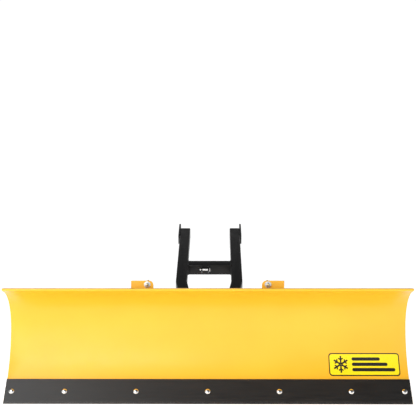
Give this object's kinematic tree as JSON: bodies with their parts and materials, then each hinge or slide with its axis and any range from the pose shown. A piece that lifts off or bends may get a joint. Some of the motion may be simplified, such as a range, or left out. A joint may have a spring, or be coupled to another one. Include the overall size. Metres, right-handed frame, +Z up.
{
  "type": "atv plow blade",
  "caption": "Curved steel snow plow blade for an ATV: bolt-on wear bar, spring trip, swivel with angle lock, adjustable skid shoes and tubular push frame.",
  "frame": {"origin": "middle of the wear bar's ground edge, on its flat foot", "axes": "+X to the blade's right end seen from in front, +Y back towards the vehicle, +Z up; the blade's front faces -Y"},
  "size_m": [1.524, 1.3539, 0.6882],
  "materials": {
    "yellow_paint": "satin yellow powder coat",
    "black_paint": "satin black powder coat",
    "bar_paint": "semi-gloss black paint on mill-scale steel",
    "zinc_plate": "bright zinc plating",
    "spring_steel": "oiled dark spring steel",
    "knob_plastic": "moulded black plastic"
  },
  "bodies": {
    "push_frame": {"push_tube_left": "black_paint", "push_tube_right": "black_paint", "cross_tube": "black_paint", "nose_plate_upper": "black_paint", "nose_plate_lower": "black_paint", "kingpin": "zinc_plate", "kingpin_nut": "zinc_plate", "lift_bracket": "black_paint", "lift_pin": "zinc_plate", "mount_lug_left": "black_paint", "mount_lug_right": "black_paint", "lock_guide": "black_paint"},
    "lock_plunger": {"lock_pin": "zinc_plate", "lock_knob": "knob_plastic", "lock_spring": "spring_steel"},
    "swivel": {"crossbar": "black_paint", "angle_quadrant": "black_paint", "swivel_plate_lower": "black_paint", "swivel_arm_left": "black_paint", "swivel_arm_right": "black_paint", "spring_anchor_left": "black_paint", "spring_anchor_right": "black_paint", "trip_spring_left": "spring_steel", "trip_spring_right": "spring_steel"},
    "blade": {"moldboard": "yellow_paint", "wear_bar": "bar_paint", "wear_bolt_1": "zinc_plate", "wear_bolt_2": "zinc_plate", "wear_bolt_3": "zinc_plate", "wear_bolt_4": "zinc_plate", "wear_bolt_5": "zinc_plate", "wear_bolt_6": "zinc_plate", "wear_bolt_7": "zinc_plate", "wear_nut_1": "zinc_plate", "wear_nut_2": "zinc_plate", "wear_nut_3": "zinc_plate", "wear_nut_4": "zinc_plate", "wear_nut_5": "zinc_plate", "wear_nut_6": "zinc_plate", "wear_nut_7": "zinc_plate", "inner_rib_left": "yellow_paint", "inner_rib_right": "yellow_paint", "outer_rib_left": "yellow_paint", "outer_rib_right": "yellow_paint", "eye_bolt_left": "zinc_plate", "eye_bolt_right": "zinc_plate", "spring_washer_left": "zinc_plate", "spring_washer_right": "zinc_plate", "spring_nut_left": "zinc_plate", "spring_nut_right": "zinc_plate", "pivot_pin_left": "zinc_plate", "pivot_pin_right": "zinc_plate", "skid_sleeve_left": "yellow_paint", "skid_sleeve_right": "yellow_paint"},
    "skid_left": {"skid_shoe_left": "black_paint", "skid_pin_left": "zinc_plate", "skid_spacer_left": "zinc_plate"},
    "skid_right": {"skid_shoe_right": "black_paint", "skid_pin_right": "zinc_plate", "skid_spacer_right": "zinc_plate"}
  },
  "joints": [
    {"name": "angle_swivel", "type": "hinge", "parent": "push_frame", "child": "swivel", "pos_m": [0, 0.3, 0.2], "axis": [0, -0.4226, 0.9063], "range_deg": [-30, 30]},
    {"name": "blade_trip", "type": "hinge", "parent": "swivel", "child": "blade", "pos_m": [0, 0.15, 0.118], "axis": [1, 0, 0], "range_deg": [0, 35], "stiffness_Nm_per_rad": 1200, "springref_deg": -6.88, "deforming": ["trip_spring_left", "trip_spring_right"]},
    {"name": "lock_plunge", "type": "slide", "parent": "push_frame", "child": "lock_plunger", "axis": [0, -0.4226, 0.9063], "range_m": [-0.022, 0], "deforming": ["lock_spring"]},
    {"name": "skid_left_height", "type": "slide", "parent": "blade", "child": "skid_left", "axis": [0, 0, 1], "range_m": [-0.038, 0]},
    {"name": "skid_right_height", "type": "slide", "parent": "blade", "child": "skid_right", "axis": [0, 0, 1], "range_m": [-0.038, 0]}
  ]
}
